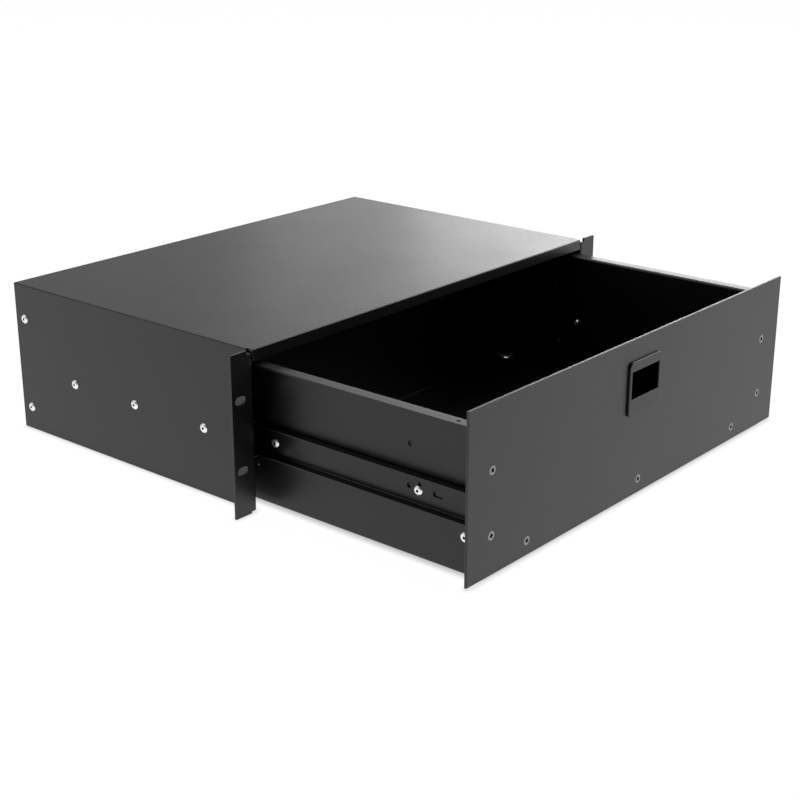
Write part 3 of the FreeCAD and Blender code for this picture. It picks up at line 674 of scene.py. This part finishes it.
def makeSpring(low, high):
    shape = springShape
    wire = shape["wireRadius"]
    reach = (high.x - low.x) / 2 - wire
    span = high.z - low.z - 2 * wire
    clearSelection()
    bpy.ops.mesh.primitive_circle_add(vertices=shape["wireSides"], radius=wire, fill_type="NOTHING")
    spring = bpy.context.object
    spring.data.transform(Matrix.Translation((reach, 0, wire)) @ Matrix.Rotation(math.radians(90), 4, "X"))
    coilUp(spring, span / shape["turns"], shape["turns"], shape["steps"])
    for vertex in spring.data.vertices:  # the end turns lie close together
        share = min(1, max(0, (vertex.co.z - wire) / span))
        vertex.co.z -= shape["endsClosed"] * math.sin(2 * math.pi * share) * span
    closeEnds(spring, shape["wireSides"])
    bpy.ops.object.shade_smooth()
    finishWith(spring, "springSteel")
    return spring


def addSprings():
    boxes = solidBoxes("latch_springs")
    low, high = boxes[0]
    height = high.z - low.z
    spring = makeSpring(low, high)
    places = []
    for springLow, springHigh in boxes:
        middle = (springLow + springHigh) / 2
        places.append(Matrix.Translation((middle.x, middle.y, springLow.z)))
    springs = copiesJoined("latchSprings", spring, places)
    standFor(springs, "latch_springs")
    joint = [joint for joint in frame["joints"] if joint["name"] == "latch_bolt_slide"][0]
    travel = max(abs(limit) for limit in joint["range_m"])
    1 - travel / height
    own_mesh(springs)


addSprings()
print("springs: added")


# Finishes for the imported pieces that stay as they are

keptNodes = {
    "left_balls": "ballSteel", "right_balls": "ballSteel",
    "left_rail_bumper": "bumperRubber", "right_rail_bumper": "bumperRubber",
}
for keptNode, keptFinish in keptNodes.items():
    for materialSlot in cadNodes[keptNode].material_slots:
        materialSlot.material = finishes[keptFinish]
print("kept nodes:", len(keptNodes))


# Studio: a white floor, a soft overhead light, a long softbox behind on the right that fades towards
# the middle, and three dim cards

studio = {
    "floorSize": 60.0, "floorWhite": 0.9, "floorGlow": 0.97, "glowLevel": 1.02, "paintedShadowReach": 0.0055,
    "paintedShadowLevel": 0.45, "worldLevel": 0.12,
}
lights = {
    "overheadSoft": {"size": (2.6, 2.6), "distance": 2.4, "azimuth": 60, "elevation": 78, "watts": 50},
    "softboxBehind": {"size": (2.08, 0.8), "distance": 2.6, "azimuth": 78.2, "elevation": 8.2, "watts": 42},
    "softboxFade": {"size": (0.27, 0.8), "distance": 2.6, "azimuth": 53.5, "elevation": 8.2, "watts": 3.3},
    "softboxSpill": {"size": (0.42, 1.2), "distance": 2.6, "azimuth": 46, "elevation": 13, "watts": 2.0},
    "cardBehind": {"size": (1.0, 1.5), "distance": 2.6, "azimuth": 30.5, "elevation": 16, "watts": 2.0},
    "cardBackLeft": {"size": (2.0, 1.7), "distance": 2.6, "azimuth": -42, "elevation": 27, "watts": 10},
    "cardFrontRight": {"size": (1.6, 1.8), "distance": 2.6, "azimuth": 108, "elevation": 30, "watts": 40},
}


def lightAt(name, look):  # azimuth is from +Y towards +X
    clearSelection()
    azimuth = math.radians(look["azimuth"])
    elevation = math.radians(look["elevation"])
    level = math.cos(elevation)
    out = Vector((math.sin(azimuth) * level, math.cos(azimuth) * level, math.sin(elevation)))
    bpy.ops.object.light_add(type="AREA", location=out * look["distance"])
    light = bpy.context.object
    light.name = name
    light.data.shape = "RECTANGLE"
    light.data.size, light.data.size_y = look["size"]
    light.data.energy = look["watts"]
    light.rotation_euler = out.to_track_quat("Z", "Y").to_euler()


def seenRays(tree, kind):
    return addNode(tree, "ShaderNodeLightPath", {}, {}, kind)


def addFloor():
    clearSelection()
    bpy.ops.mesh.primitive_plane_add(size=studio["floorSize"], location=(0, 0, cadBox[0].z))
    floor = bpy.context.object
    floor.name = "studioFloor"
    finish, tree = newFinish("floorWhite")
    finish.cycles.emission_sampling = "NONE"
    seen = seenRays(tree, "Is Camera Ray") + seenRays(tree, "Is Glossy Ray")
    reach = {"Distance": studio["paintedShadowReach"]}
    # painted contact shadow: ambient occlusion darkens the floor's glow close to the object
    near = addNode(tree, "ShaderNodeAmbientOcclusion", {"samples": 16}, reach, "AO")
    glowWithPaintedShadow = (near * (1 - studio["paintedShadowLevel"]) + studio["paintedShadowLevel"]) * studio["glowLevel"]
    glow = addNode(tree, "ShaderNodeEmission", {}, {"Color": (1, 1, 1, 1), "Strength": glowWithPaintedShadow})
    card = addNode(tree, "ShaderNodeBsdfDiffuse", {}, {"Color": (*grey(studio["floorWhite"]), 1)})
    surface = addNode(tree, "ShaderNodeMixShader", {}, {0: seen * studio["floorGlow"], 1: card, 2: glow})
    closeFinish(tree, surface)
    floor.data.materials.append(finish)


def addWorld():
    world = bpy.data.worlds.new("studioWorld")
    bpy.context.scene.world = world
    world.use_nodes = True
    tree = world.node_tree
    tree.nodes.clear()
    plain = (1, 1, 1, 1)
    room = addNode(tree, "ShaderNodeBackground", {}, {"Color": plain, "Strength": studio["worldLevel"]})
    white = addNode(tree, "ShaderNodeBackground", {}, {"Color": plain, "Strength": 1.0})
    mixed = addNode(tree, "ShaderNodeMixShader", {}, {0: seenRays(tree, "Is Camera Ray"), 1: room, 2: white})
    addNode(tree, "ShaderNodeOutputWorld", {}, {"Surface": mixed})


addFloor()
addWorld()
for lightName, lightLook in lights.items():
    lightAt(lightName, lightLook)
bpy.context.scene.view_settings.view_transform = "Standard"
print("studio: lit")
